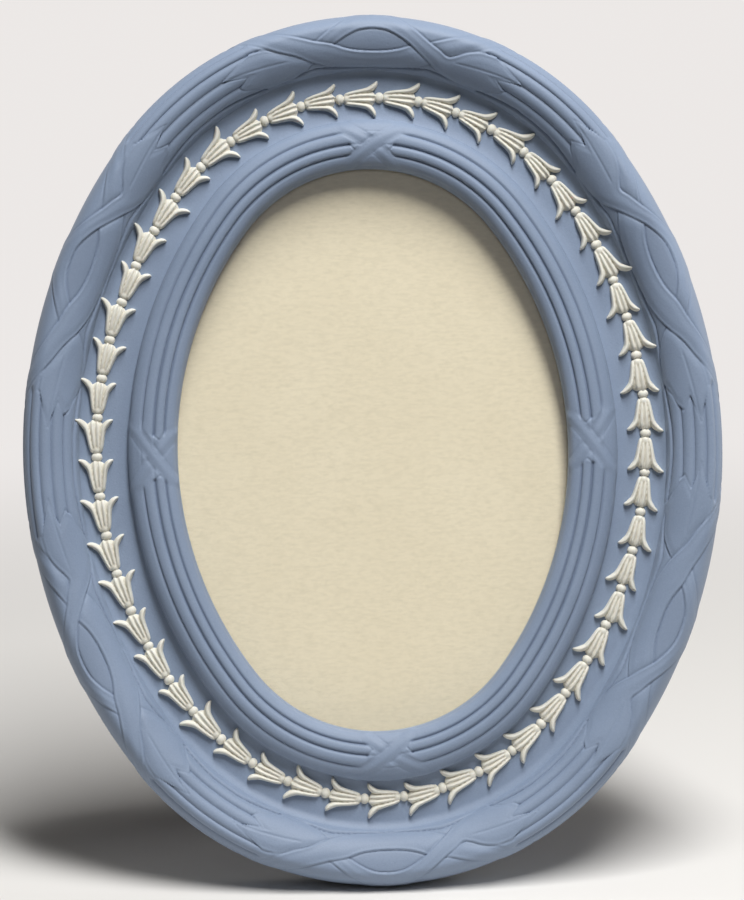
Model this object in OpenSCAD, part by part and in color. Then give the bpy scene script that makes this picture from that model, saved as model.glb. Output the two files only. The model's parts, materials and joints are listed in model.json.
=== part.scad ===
// Oval stoneware picture frame: a blue body with reeded mouldings and a pale husk garland,
// glazed, backed with velvet and stood up on an easel strut.
// Millimetres, +Z up, the face looks towards -Y and leans back.
// The origin is the centre of the small flat that the body stands on.

/* [Body] */
// Width of the oval body
frame_w = 150; // [144:1:158]
// Height of the oval body, along its face
frame_h = 187; // [182:1:194]
// Angle that the face leans back from upright
lean = 13; // [11:1:15]
// Depth of the flat that is ground on the lowest reed
foot_flat = 0.4; // [0.2:0.1:0.6]

/* [Outer band] */
// Width of the outer reeded band
outer_band_w = 11.7; // [11:0.1:12.5]
// Thickness of the body over the crown of the outer band
body_t = 15.5; // [14.5:0.5:17]
// Height of the widest point of the outer band above the back
outer_mid_t = 8.2; // [7.5:0.1:9]
// Turn round the band's section to the groove behind the first reed; outwards is negative
first_groove_turn = -110.5; // [-112:0.5:-109]
// Turn round the band's section from one groove to the next
groove_turn = 25.5; // [25:0.1:26]
// Rise of a reed above the grooves beside it
reed_rise = 0.5; // [0.3:0.05:0.7]
// Radius of the edge between the side and the back
back_edge_r = 5; // [4:0.5:5.5]

/* [Field] */
// Height of the field that carries the garland, above the back
field_t = 8.6; // [8:0.1:9.2]
// Width of the flat part of the field
field_w = 7.6; // [7.6:0.1:8.4]
// Width of the hollow between the outer band and the field
outer_cove_w = 0.5; // [0.4:0.1:1]
// Width of the hollow between the field and the inner band
inner_cove_w = 2.7; // [2:0.1:3.2]

/* [Inner band] */
// Width of the inner reeded band
inner_band_w = 10.5; // [10:0.1:11.5]
// Thickness of the body over the crown of the inner band
inner_band_t = 13.2; // [12.5:0.1:14]
// Height of the inner band's section centre above the back
inner_mid_t = 9; // [8.4:0.1:9.4]
// How far the lip laps over the glass
lip_w = 3; // [2.5:0.5:4]

/* [Garland] */
// Pitch that the husks are spaced at, before it is fitted to the oval
husk_pitch = 8.63; // [8.5:0.01:8.8]
// Length of a husk from its base to its petal tips
husk_l = 7.3; // [7:0.1:7.4]
// Width of a husk at its base
husk_base_w = 2.3; // [2:0.1:2.6]
// Width of a husk across its belly
husk_belly_w = 4.4; // [4:0.1:4.8]
// Spread of a husk's petal tips
husk_spread = 7.4; // [7:0.1:7.6]
// Height of a husk above the field
husk_t = 1.9; // [1.5:0.1:2.3]
// Diameter of a bead
bead_d = 2.2; // [2:0.1:2.3]
// Gap between a bead and the husks beside it
bead_gap = 0.08; // [0.05:0.01:0.12]
// Distance of the first bead past the top of the oval
garland_start = 1.8; // [0:0.1:4]

/* [Glazing and backing] */
// Thickness of the glass
glass_t = 2; // [1.5:0.5:2.5]
// Thickness of the display card
card_t = 0.4; // [0.3:0.1:0.6]
// Thickness of the packing card behind the display card
packing_t = 1.2; // [1:0.2:2]
// Gap round the glass and the cards in their rebate
glass_gap = 0.4; // [0.3:0.1:0.6]
// Thickness of the fibreboard of the ring and of the back panel
backing_t = 2.5; // [2:0.5:3]
// Thickness of the velvet on the ring and on the back panel
velvet_t = 0.6; // [0.4:0.1:0.8]
// How far the velvet lies below the back of the body
velvet_sink = 0.3; // [0.2:0.1:0.5]
// Width of the body's bare rim round the back
rim_w = 12; // [11.5:0.5:13]
// Gap between the bonded ring and the rim
ring_gap = 0.3; // [0.2:0.1:0.5]
// How far the panel laps over the edge of the rebate
panel_lap = 0.6; // [0.5:0.1:0.9]
// Gap between the panel and the ring
panel_gap = 0.4; // [0.3:0.1:0.5]

/* [Turn buttons] */
// Distance of a button's pivot from the outer edge of the body
button_inset = 24.5; // [24:0.5:25]
// Turn from the level to a button's pivot, about the centre of the side curve
button_turn = 30; // [28:1:33]
// Reach of a button from its pivot over the panel
button_reach = 8.5; // [8:0.1:9.5]
// Length of a button behind its pivot
button_tail = 4.5; // [4:0.1:5.5]
// Width of a button
button_w = 6; // [5:0.5:7]
// Thickness of a button
button_t = 0.8; // [0.6:0.1:1]
// Diameter of a screw's shank
screw_d = 2.5; // [2:0.1:2.8]
// Diameter of a screw's head
screw_head_d = 4.6; // [4:0.1:5]
// Height of a screw's head
screw_head_t = 0.8; // [0.7:0.1:1]
// Width of the slot in a screw's head
slot_w = 0.7; // [0.5:0.1:0.9]

/* [Hinge] */
// Drop from the top of the panel to the hinge's pin
hinge_drop = 27.6; // [26:0.2:29]
// Thickness of a hinge leaf
leaf_t = 0.8; // [0.7:0.1:1]
// Width of the leaf on the panel
fixed_leaf_w = 22; // [20:1:26]
// Height of the leaf on the panel
fixed_leaf_h = 12; // [11:0.5:14]
// Width of the leaf on the strut
moving_leaf_w = 15; // [13:0.5:16]
// Height of the leaf on the strut
moving_leaf_h = 15; // [13:0.5:20]
// Diameter of the knuckles
knuckle_d = 3.8; // [3.4:0.1:4]
// Width of the middle knuckle
knuckle_w = 8; // [7:0.5:9]
// Gap between the knuckles
knuckle_gap = 0.15; // [0.1:0.05:0.25]
// Diameter of the pin
pin_d = 1.8; // [1.6:0.1:2]
// Clearance round the pin in the middle knuckle
pin_play = 0.05; // [0.03:0.01:0.08]
// Thickness of the pin's heads
pin_head_t = 0.5; // [0.4:0.1:0.7]
// Length of the stop that rests on the panel's leaf when the strut is open
stop_l = 5; // [4.5:0.1:5.5]
// Diameter of a rivet
rivet_d = 1.6; // [1.4:0.1:1.8]
// Diameter of a rivet's head
rivet_head_d = 3.2; // [2.8:0.1:3.6]
// Height of a rivet's head
rivet_head_t = 0.6; // [0.5:0.1:0.7]

/* [Strut] */
// Angle between the strut and the back when it is open
strut_open = 25; // [24:1:28]
// Width of the strut at the hinge
strut_top_w = 20; // [18:1:24]
// Width of the strut at its foot
strut_foot_w = 40; // [34:1:44]
// Thickness of the strut's board
strut_t = 3; // [2.5:0.5:3.5]
// Thickness of the velvet round the strut
strut_velvet_t = 0.5; // [0.4:0.1:0.7]
// Height of the strut's bare edge above what it stands on
bare_edge = 1.5; // [1:0.5:3]

/* [Hidden] */
$fn = 96;

// Length by which a cutting shape runs past what it cuts
overrun = 1;
// Clearance that lets flat metal parts slide on each other
slide_gap = 0.05;

// The outline is a four-centre oval set out with a 3-4-5 triangle, so its arcs meet smoothly
half_w = frame_w / 2;
half_h = frame_h / 2;
oval_unit = (half_h - half_w) / 2;
end_r = half_w - oval_unit;
side_r = half_w + 4 * oval_unit;
end_c = 3 * oval_unit;
side_c = 4 * oval_unit;
side_half_turn = atan2(3, 4);
end_half_turn = 90 - side_half_turn;
// The seams between the sectors run out from the two end centres; these are their far ends
seam_reach = 2 * half_h;
seam_x = seam_reach * cos(side_half_turn);
seam_y = seam_reach * sin(side_half_turn) + end_c;
// Each sector is its centre, its radius and the region that it fills
sectors = concat(
    [for (side = [-1, 1]) [[-side * side_c, 0], side_r,
        [[0, end_c], [side * seam_x, seam_y], [side * seam_x, -seam_y], [0, -end_c]]]],
    [for (end = [-1, 1]) [[0, end * end_c], end_r,
        [[0, end * end_c], [seam_x, end * seam_y], [-seam_x, end * seam_y]]]]);

// Insets from the outer edge, across the moulding
garland_inset = outer_band_w + outer_cove_w + field_w / 2;
inner_band_inset = outer_band_w + outer_cove_w + field_w + inner_cove_w;
band_w = inner_band_inset + inner_band_w;
rebate_inset = band_w - lip_w;
glass_inset = rebate_inset + glass_gap;
panel_inset = rebate_inset - panel_lap;
ring_hole_inset = panel_inset - panel_gap;
ring_inset = rim_w + ring_gap;

// Heights above the plane of the body's back
recess_t = velvet_sink + velvet_t + backing_t;
card_back = recess_t + packing_t;
glass_back = card_back + card_t;
shelf_t = glass_back + glass_t;

// Grooves round the section of each band, as turns from its crown; outwards is negative
outer_groove_turns = [for (i = [0 : 7]) first_groove_turn + i * groove_turn];
inner_groove_turns = [-74, -27, 3, 29, 68];

function section_point(mid, half, turn) = mid + [half[0] * sin(turn), half[1] * cos(turn)];

outer_mid = [outer_band_w / 2, outer_mid_t];
outer_half = [outer_band_w / 2, body_t - reed_rise - outer_mid_t];
outer_grooves = [for (t = outer_groove_turns) section_point(outer_mid, outer_half, t)];
inner_mid = [inner_band_inset + inner_band_w / 2, inner_mid_t];
inner_half = [inner_band_w / 2, inner_band_t - reed_rise - inner_mid_t];
inner_grooves = [for (t = inner_groove_turns) section_point(inner_mid, inner_half, t)];

// Circle of the reed between two grooves
function reed_radius(p, q) = pow(norm(q - p), 2) / (8 * reed_rise) + reed_rise / 2;
function reed_centre(p, q) = (p + q) / 2
    + [p[1] - q[1], q[0] - p[0]] / norm(q - p) * (reed_rise - reed_radius(p, q));

// Hollow curve that leaves the field flat and ends upright at the band beside it
cove_steps = 4;
function cove(from, to) = [for (i = [0 : cove_steps])
    let (turn = 90 * i / cove_steps)
    from + [(to[0] - from[0]) * sin(turn), (to[1] - from[1]) * (1 - cos(turn))]];
function flip(list) = [for (i = [len(list) - 1 : -1 : 0]) list[i]];
// The solid under the reeds, as a share of each groove's distance from the middle of its band
core_share = 0.95;
function core_points(mid, grooves) = [for (g = grooves) mid + (g - mid) * core_share];
// Rounded edge between the back and the side, from the back outwards
back_edge_steps = 6;
back_edge = [for (i = [0 : back_edge_steps])
    section_point([outer_grooves[0][0] + back_edge_r, back_edge_r], [back_edge_r, back_edge_r],
        180 + 90 * i / back_edge_steps)];

// The body stands on the reed just behind its widest point
foot_reed_r = reed_radius(outer_grooves[0], outer_grooves[1]);
foot_reed_c = reed_centre(outer_grooves[0], outer_grooves[1]);
foot_y = (half_h - foot_reed_c[0]) * sin(lean) + foot_reed_c[1] * cos(lean);
foot_z = (half_h - foot_reed_c[0]) * cos(lean) - foot_reed_c[1] * sin(lean)
    + foot_reed_r - foot_flat;

// Garland
garland_end_r = end_r - garland_inset;
garland_side_r = side_r - garland_inset;
end_arc = garland_end_r * 2 * end_half_turn * PI / 180;
side_arc = garland_side_r * 2 * side_half_turn * PI / 180;
garland_l = 2 * end_arc + 2 * side_arc;
husk_count = round(garland_l / husk_pitch);
husk_step = garland_l / husk_count;
husk_gap = bead_d / 2 + bead_gap;
tongue_l = husk_step - 2 * husk_gap;
// Height of a bead's centre above the field
bead_up = bead_d / 4;

// Hinge and strut, measured from the plane of the body's back; backwards is negative
hinge_up = half_h - panel_inset - hinge_drop;
pin_z = velvet_sink - slide_gap - knuckle_d / 2;
stop_gap = slide_gap;
button_z = velvet_sink - slide_gap;
pin_world_z = hinge_up * cos(lean) + pin_z * sin(lean) + foot_z;
strut_l = pin_world_z / cos(strut_open - lean);
strut_top_gap = knuckle_d / 2 + strut_velvet_t + knuckle_gap;
board_front = -leaf_t / 2 - strut_velvet_t;
// Places of the rivets, as shares of their leaf's width and height
panel_rivet_shares = [0.36, 0.68];
strut_rivet_shares = [0.27, 0.65];
panel_rivet_places = [for (side = [-1, 1])
    [side * fixed_leaf_w * panel_rivet_shares[0], hinge_up + fixed_leaf_h * panel_rivet_shares[1]]];
strut_rivet_places = [for (side = [-1, 1])
    [side * moving_leaf_w * strut_rivet_shares[0], -moving_leaf_h * strut_rivet_shares[1]]];
// Width and height of the strut's cut top corners, as a share of its width there
strut_corner_share = 0.2;

// Points along the garland's line, clockwise from the top as seen from the front: [x, y, heading]
function arc_point(centre, radius, turn) =
    [centre[0] + radius * cos(turn), centre[1] + radius * sin(turn), turn - 90];
function garland_point(s) =
    s < end_arc / 2 ? arc_point([0, end_c], garland_end_r, 90 - s / garland_end_r * 180 / PI) :
    s < end_arc / 2 + side_arc
        ? arc_point([-side_c, 0], garland_side_r,
            side_half_turn - (s - end_arc / 2) / garland_side_r * 180 / PI) :
    s < end_arc * 3 / 2 + side_arc
        ? arc_point([0, -end_c], garland_end_r,
            -side_half_turn - (s - end_arc / 2 - side_arc) / garland_end_r * 180 / PI) :
    s < end_arc * 3 / 2 + 2 * side_arc
        ? arc_point([side_c, 0], garland_side_r,
            180 + side_half_turn - (s - end_arc * 3 / 2 - side_arc) / garland_side_r * 180 / PI) :
    garland_point(s - garland_l);

// Leans the part back and sets it on the floor
module stand() {
    translate([0, foot_y, foot_z]) rotate([90 - lean, 0, 0]) children();
}

// Keeps what lies above a level over the floor
module above(level) {
    reach = 2 * frame_h;
    intersection() {
        children();
        translate([-reach, -reach, level]) cube([2 * reach, 2 * reach, reach]);
    }
}

// Draws its children round each sector's centre, cut to the sector; $sector_r is its radius
module each_sector(thick) {
    for (s = sectors) {
        $sector_r = s[1];
        intersection() {
            translate(s[0]) children();
            translate([0, 0, -overrun]) linear_extrude(thick + 2 * overrun) polygon(s[2]);
        }
    }
}

// Oval outline, set in from the body's edge
module oval_outline(inset) {
    for (s = sectors) intersection() {
        translate(s[0]) circle(r = s[1] - inset);
        polygon(s[2]);
    }
}

// Flat oval plate from height low to height high
module oval_plate(inset, low, high) {
    translate([0, 0, low]) linear_extrude(high - low) oval_outline(inset);
}

module oval_ring(outer_inset, inner_inset, low, high) {
    difference() {
        oval_plate(outer_inset, low, high);
        oval_plate(inner_inset, low - overrun, high + overrun);
    }
}

module reeds(grooves) {
    for (i = [0 : len(grooves) - 2])
        translate(reed_centre(grooves[i], grooves[i + 1]))
            circle(reed_radius(grooves[i], grooves[i + 1]), $fn = 48);
}

// Section of the moulding: x runs inwards from the outer edge, y up from the back
module moulding_section() {
    field_out = [outer_band_w + outer_cove_w, field_t];
    field_in = [inner_band_inset - inner_cove_w, field_t];
    outer_core = core_points(outer_mid, outer_grooves);
    inner_core = core_points(inner_mid, inner_grooves);
    difference() {
        union() {
            polygon(concat(
                [[band_w, shelf_t], [band_w, inner_mid_t + reed_rise]],
                [for (i = [4 : -1 : 1]) inner_core[i]],
                flip(cove(field_in, inner_grooves[0])),
                cove(field_out, outer_grooves[7]),
                [for (i = [6 : -1 : 0]) outer_core[i]],
                flip(back_edge),
                [[band_w, 0]]));
            reeds(outer_grooves);
            reeds(inner_grooves);
        }
        translate([rim_w, -overrun]) square([band_w + overrun - rim_w, recess_t + overrun]);
        translate([rebate_inset, -overrun]) square([lip_w + overrun, shelf_t + overrun]);
    }
}

module jasper_frame() {
    color([0.46, 0.55, 0.71]) above(0) stand()
        each_sector(body_t + overrun) rotate_extrude()
            translate([$sector_r, 0]) mirror([1, 0]) moulding_section();
}

// One husk on a flat back: base at the origin, petals opening along +x
module husk() {
    // Across a husk: edge, petal ridge, fold, middle ridge, fold, petal ridge, edge
    across_shares = [-1, -0.7, -0.36, 0, 0.36, 0.7, 1];
    height_shares = [0, 0.78, 0.5, 0.92, 0.5, 0.78, 0];
    // Stations from the base to where the petals part: place, half width and height
    place_shares = [0, 0.24, 0.48, 0.7];
    belly_shares = [0.42, 0.5, 0.55];
    rise_shares = [0.55, 0.95, 1, 0.95];
    half_widths = concat(husk_base_w / 2, husk_belly_w * belly_shares);
    cup = [for (s = [0 : 3], i = [0 : 6])
        [husk_l * place_shares[s], half_widths[s] * across_shares[i],
            husk_t * rise_shares[s] * height_shares[i]]];
    fold = half_widths[3] * across_shares[4];
    // Points of a petal and of the tongue: place, distance from the middle and height
    petal_shares = [[0.88, 0.41, 0], [0.88, 0.345, 0.6], [0.88, 0.27, 0], [1, 0.5, 0]];
    tongue_shares = [[0.93, -0.7, 0], [0.93, 0, 0.7], [0.93, 0.7, 0], [1, 0, 0]];
    petal = [for (p = petal_shares) [husk_l * p[0], husk_spread * p[1], husk_t * p[2]]];
    tongue = [for (p = tongue_shares) [tongue_l * p[0], fold * p[1], husk_t * p[2]]];
    roots = [for (side = [-1, 1]) [husk_l * place_shares[3], side * fold, 0]];
    mirrored = [for (p = petal) [p[0], -p[1], p[2]]];
    points = concat(cup, mirrored, tongue, petal, roots);
    // Where each group of points starts
    right = len(cup);
    middle = right + 4;
    left = middle + 4;
    root = left + 4;
    row = len(across_shares);
    strips = [for (s = [0 : 2], i = [0 : row - 2])
        [row * s + i, row * s + i + 1, row * (s + 1) + i + 1, row * (s + 1) + i]];
    lobes = [
        [21, 22, right + 1, right], [22, 23, right + 2, right + 1],
        [right, right + 1, right + 3], [right + 1, right + 2, right + 3],
        [23, 24, middle + 1, middle], [24, 25, middle + 2, middle + 1],
        [middle, middle + 1, middle + 3], [middle + 1, middle + 2, middle + 3],
        [25, 26, left + 1, left + 2], [26, 27, left, left + 1],
        [left + 2, left + 1, left + 3], [left + 1, left, left + 3],
        [23, root, right + 2], [23, middle, root], [25, root + 1, middle + 2], [25, left + 2, root + 1]];
    base = [[6, 5, 4, 3, 2, 1, 0]];
    under = [[0, 7, 14, 21, right, right + 3, right + 2, root, middle, middle + 3, middle + 2, root + 1,
        left + 2, left + 3, left, 27, 20, 13, 6]];
    triangles = [for (f = concat(strips, lobes), i = [1 : len(f) - 2]) [f[0], f[i], f[i + 1]]];
    polyhedron(points, [for (f = concat(triangles, base, under)) flip(f)]);
}

module husk_flowers() {
    color([0.93, 0.91, 0.85]) stand() for (i = [0 : husk_count - 1]) {
        place = garland_point(garland_start + i * husk_step + husk_gap + tongue_l / 2);
        translate([place[0], place[1], field_t]) rotate([0, 0, place[2]])
            translate([-tongue_l / 2, 0, 0]) husk();
    }
}

module husk_beads() {
    color([0.95, 0.93, 0.88]) stand() for (i = [0 : husk_count - 1]) {
        place = garland_point(garland_start + i * husk_step);
        translate([place[0], place[1], field_t]) intersection() {
            translate([0, 0, bead_up]) sphere(bead_d / 2);
            cylinder(r = bead_d, h = 2 * bead_d);
        }
    }
}

module glass_pane() {
    color([0.85, 0.93, 0.93, 0.35]) stand() oval_plate(glass_inset, glass_back, shelf_t);
}

module display_card() {
    color([0.93, 0.88, 0.76]) stand() oval_plate(glass_inset, card_back, glass_back);
}

module packing_card() {
    color([0.72, 0.66, 0.56]) stand() oval_plate(glass_inset, recess_t, card_back);
}

// Draws its children at each button's pivot; x points inwards across the oval
module at_buttons(which = [0 : 3]) {
    for (i = which) {
        side = i % 2 == 0 ? 1 : -1;
        rise = i < 2 ? 1 : -1;
        middle = side > 0 ? 0 : 180;
        translate([-side * side_c, 0]) rotate([0, 0, middle + side * rise * button_turn])
            translate([side_r - button_inset, 0]) rotate([0, 0, 180]) children();
    }
}

module screw_holes() {
    at_buttons() translate([0, 0, -overrun]) cylinder(d = screw_d, h = recess_t + 2 * overrun);
}

module back_ring() {
    color([0.55, 0.42, 0.3]) stand() difference() {
        oval_ring(ring_inset, ring_hole_inset, velvet_sink + velvet_t, recess_t);
        screw_holes();
    }
}

module ring_velvet() {
    color([0.13, 0.15, 0.26]) stand() difference() {
        oval_ring(ring_inset, ring_hole_inset, velvet_sink, velvet_sink + velvet_t);
        screw_holes();
    }
}

module panel_rivet_holes() {
    for (p = panel_rivet_places) translate([p[0], p[1], -overrun])
        cylinder(d = rivet_d, h = recess_t + 2 * overrun);
}

module back_panel() {
    color([0.55, 0.42, 0.3]) stand() difference() {
        oval_plate(panel_inset, velvet_sink + velvet_t, recess_t);
        panel_rivet_holes();
    }
}

module panel_velvet() {
    color([0.13, 0.15, 0.26]) stand() difference() {
        oval_plate(panel_inset, velvet_sink, velvet_sink + velvet_t);
        panel_rivet_holes();
    }
}

// A strip with round ends and a hole for the screw
module turn_button() {
    round_r = button_w / 2;
    straight_l = button_reach + button_tail - button_w;
    translate([0, 0, button_z - button_t]) difference() {
        union() {
            translate([round_r - button_tail, -round_r]) cube([straight_l, button_w, button_t]);
            translate([round_r - button_tail, 0]) cylinder(r = round_r, h = button_t);
            translate([button_reach - round_r, 0]) cylinder(r = round_r, h = button_t);
        }
        translate([0, 0, -overrun]) cylinder(d = screw_d + 2 * pin_play, h = button_t + 2 * overrun);
    }
}

module turn_button_at(i) {
    color([0.78, 0.62, 0.3]) stand() at_buttons([i]) turn_button();
}

// Left and right are named as seen from behind
module turn_button_upper_left() { turn_button_at(0); }
module turn_button_upper_right() { turn_button_at(1); }
module turn_button_lower_left() { turn_button_at(2); }
module turn_button_lower_right() { turn_button_at(3); }

module turn_button_screws() {
    head_z = button_z - button_t - slide_gap;
    color([0.72, 0.57, 0.28]) stand() at_buttons() difference() {
        union() {
            translate([0, 0, head_z]) cylinder(d = screw_d, h = recess_t - head_z);
            translate([0, 0, head_z - screw_head_t]) cylinder(d = screw_head_d, h = screw_head_t);
        }
        translate([-screw_head_d, -slot_w / 2, head_z - screw_head_t - overrun])
            cube([2 * screw_head_d, slot_w, screw_head_t / 2 + overrun]);
    }
}

// A barrel along x, centred on the pin
module barrel(d, l) {
    rotate([0, 90, 0]) translate([0, 0, -l / 2]) cylinder(d = d, h = l);
}

module at_pin() {
    translate([0, hinge_up, pin_z]) children();
}

module hinge_fixed_leaf() {
    notch_w = knuckle_w + 2 * knuckle_gap;
    notch_h = knuckle_d / 2 + 2 * knuckle_gap;
    color([0.7, 0.68, 0.62]) stand() difference() {
        union() {
            at_pin() barrel(knuckle_d, fixed_leaf_w);
            translate([-fixed_leaf_w / 2, hinge_up, velvet_sink - leaf_t])
                cube([fixed_leaf_w, fixed_leaf_h, leaf_t]);
        }
        translate([-notch_w / 2, hinge_up - knuckle_d, pin_z - knuckle_d])
            cube([notch_w, knuckle_d + notch_h, 2 * knuckle_d]);
        at_pin() barrel(pin_d, fixed_leaf_w + 2 * overrun);
        panel_rivet_holes();
    }
}

module hinge_pin() {
    color([0.62, 0.6, 0.55]) stand() at_pin() union() {
        barrel(pin_d, fixed_leaf_w + 2 * pin_head_t);
        for (side = [-1, 1]) translate([side * (fixed_leaf_w + pin_head_t) / 2, 0, 0])
            barrel(pin_d + 2 * pin_head_t, pin_head_t);
    }
}

// A rivet's domed head on the plane z = 0, rising along +z
module rivet_head() {
    cap_r = pow(rivet_head_d, 2) / (8 * rivet_head_t) + rivet_head_t / 2;
    intersection() {
        translate([0, 0, rivet_head_t - cap_r]) sphere(cap_r);
        cylinder(d = rivet_head_d + overrun, h = rivet_head_t + overrun);
    }
}

module panel_rivets() {
    head_z = velvet_sink - leaf_t;
    color([0.74, 0.72, 0.66]) stand() for (p = panel_rivet_places) translate([p[0], p[1], 0]) union() {
        translate([0, 0, head_z]) cylinder(d = rivet_d, h = recess_t - head_z);
        translate([0, 0, head_z]) mirror([0, 0, 1]) rivet_head();
    }
}

// Opens the strut about the pin
module on_strut() {
    stand() at_pin() rotate([strut_open, 0, 0]) children();
}

module strut_rivet_holes() {
    hole_l = leaf_t + 2 * strut_velvet_t + strut_t + 2 * overrun;
    for (p = strut_rivet_places) translate([p[0], p[1], leaf_t / 2 + overrun - hole_l])
        cylinder(d = rivet_d, h = hole_l);
}

module hinge_moving_leaf() {
    neck_w = knuckle_w - 2 * knuckle_gap;
    shoulder = knuckle_d / 2 + 2 * knuckle_gap;
    stop_z = velvet_sink - leaf_t - stop_gap - leaf_t;
    color([0.7, 0.68, 0.62]) difference() {
        union() {
            stand() at_pin() barrel(knuckle_d, knuckle_w);
            stand() translate([-neck_w / 2, hinge_up, stop_z]) cube([neck_w, stop_l, leaf_t]);
            on_strut() translate([-neck_w / 2, -shoulder - overrun, -leaf_t / 2])
                cube([neck_w, shoulder + overrun, leaf_t]);
            on_strut() translate([-moving_leaf_w / 2, -moving_leaf_h, -leaf_t / 2])
                cube([moving_leaf_w, moving_leaf_h - shoulder, leaf_t]);
        }
        stand() at_pin() barrel(pin_d + 2 * pin_play, knuckle_w + 2 * overrun);
        on_strut() strut_rivet_holes();
    }
}

// Outline of the strut: tapered, with its top corners taken off; it runs on past the floor
module strut_outline(grow) {
    top = grow - strut_top_gap;
    top_half = strut_top_w / 2 + grow;
    foot_half = strut_foot_w / 2 + grow;
    corner = strut_top_w * strut_corner_share;
    polygon([[top_half - corner, top], [top_half, top - corner], [foot_half, -strut_l],
        [foot_half, -strut_l - strut_foot_w], [-foot_half, -strut_l - strut_foot_w], [-foot_half, -strut_l],
        [-top_half, top - corner], [corner - top_half, top]]);
}

module strut_board() {
    color([0.5, 0.38, 0.27]) above(0) on_strut() difference() {
        translate([0, 0, board_front - strut_t]) linear_extrude(strut_t) strut_outline(0);
        strut_rivet_holes();
    }
}

module strut_velvet() {
    color([0.13, 0.15, 0.26]) above(bare_edge) on_strut() difference() {
        translate([0, 0, board_front - strut_t - strut_velvet_t])
            linear_extrude(strut_t + 2 * strut_velvet_t) strut_outline(strut_velvet_t);
        translate([0, 0, board_front - strut_t]) linear_extrude(strut_t) strut_outline(0);
        strut_rivet_holes();
    }
}

module strut_rivets() {
    front = leaf_t / 2;
    back = board_front - strut_t - strut_velvet_t;
    color([0.74, 0.72, 0.66]) on_strut() for (p = strut_rivet_places) translate([p[0], p[1], 0]) union() {
        translate([0, 0, back]) cylinder(d = rivet_d, h = front - back);
        translate([0, 0, front]) rivet_head();
        translate([0, 0, back]) mirror([0, 0, 1]) rivet_head();
    }
}

jasper_frame();
husk_flowers();
husk_beads();
glass_pane();
display_card();
packing_card();
back_ring();
ring_velvet();
back_panel();
panel_velvet();
turn_button_upper_left();
turn_button_upper_right();
turn_button_lower_left();
turn_button_lower_right();
turn_button_screws();
hinge_fixed_leaf();
hinge_moving_leaf();
hinge_pin();
panel_rivets();
strut_board();
strut_velvet();
strut_rivets();
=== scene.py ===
# Oval blue stoneware picture frame with ribboned reeds and a cream husk garland.
import json
import math
import random

import bpy
import numpy as np
from mathutils import Matrix, Vector

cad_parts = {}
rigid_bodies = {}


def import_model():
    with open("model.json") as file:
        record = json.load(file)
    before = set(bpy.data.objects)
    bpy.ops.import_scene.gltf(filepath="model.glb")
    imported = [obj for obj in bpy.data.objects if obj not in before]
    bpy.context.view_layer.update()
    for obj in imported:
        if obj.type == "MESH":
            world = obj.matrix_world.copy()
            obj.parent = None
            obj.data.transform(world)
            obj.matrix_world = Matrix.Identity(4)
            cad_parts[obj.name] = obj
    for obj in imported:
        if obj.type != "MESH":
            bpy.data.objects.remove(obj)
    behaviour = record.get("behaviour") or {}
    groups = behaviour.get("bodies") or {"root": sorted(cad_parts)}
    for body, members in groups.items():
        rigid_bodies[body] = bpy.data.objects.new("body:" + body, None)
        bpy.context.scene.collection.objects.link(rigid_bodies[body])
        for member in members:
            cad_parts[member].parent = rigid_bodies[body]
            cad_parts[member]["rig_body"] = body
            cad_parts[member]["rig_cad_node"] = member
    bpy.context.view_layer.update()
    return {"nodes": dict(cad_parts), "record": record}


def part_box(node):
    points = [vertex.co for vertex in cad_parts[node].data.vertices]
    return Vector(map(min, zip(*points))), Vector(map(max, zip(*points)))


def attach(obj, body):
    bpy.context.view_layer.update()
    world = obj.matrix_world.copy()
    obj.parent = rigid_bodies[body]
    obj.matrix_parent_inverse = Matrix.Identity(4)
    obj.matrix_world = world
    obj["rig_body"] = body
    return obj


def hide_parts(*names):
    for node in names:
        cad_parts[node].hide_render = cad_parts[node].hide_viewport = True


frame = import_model()
nodes = frame["nodes"]
mm = 0.001
print("packed frame loaded with", len(nodes), "nodes")

# the oval face, and how far it leans back
face = {
    "wide": 150 * mm,
    "tall": 187 * mm,
    "lean": 13,                 # degrees
    "cardMiddle": 4.8 * mm,     # middle of the display card above the body's back plane
}

# four arcs laid out on a 3-4-5 triangle, as in the solid model
ovalUnit = (face["tall"] - face["wide"]) / 4
endRadius = face["wide"] / 2 - ovalUnit
sideRadius = face["wide"] / 2 + 4 * ovalUnit
sideTurn = math.atan2(3, 4)
endTurn = math.pi / 2 - sideTurn
# centre, radius, first direction and sweep of each arc, clockwise from the top
ovalArcs = [
    (0, 3 * ovalUnit, endRadius, math.pi / 2, endTurn),
    (-4 * ovalUnit, 0, sideRadius, sideTurn, 2 * sideTurn),
    (0, -3 * ovalUnit, endRadius, -sideTurn, 2 * endTurn),
    (4 * ovalUnit, 0, sideRadius, -sideTurn - 2 * endTurn, 2 * sideTurn),
    (0, 3 * ovalUnit, endRadius, math.pi / 2 + endTurn, endTurn),
]
arcSlack = 1e-12                # metres, so that no spot falls between two arcs

sinLean = math.sin(math.radians(face["lean"]))
cosLean = math.cos(math.radians(face["lean"]))
cardLow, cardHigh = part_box("display_card")
cardCentre = (cardLow + cardHigh) / 2
originY = cardCentre.y + face["cardMiddle"] * cosLean
originZ = cardCentre.z - face["cardMiddle"] * sinLean


def onFace(across, up, out):
    # from the face's own directions to the room
    return np.stack([across, originY + up * sinLean - out * cosLean,
                     originZ + up * cosLean + out * sinLean], axis=-1)


def ovalLength(inset):
    return sum((arc[2] - inset) * arc[4] for arc in ovalArcs)


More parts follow.
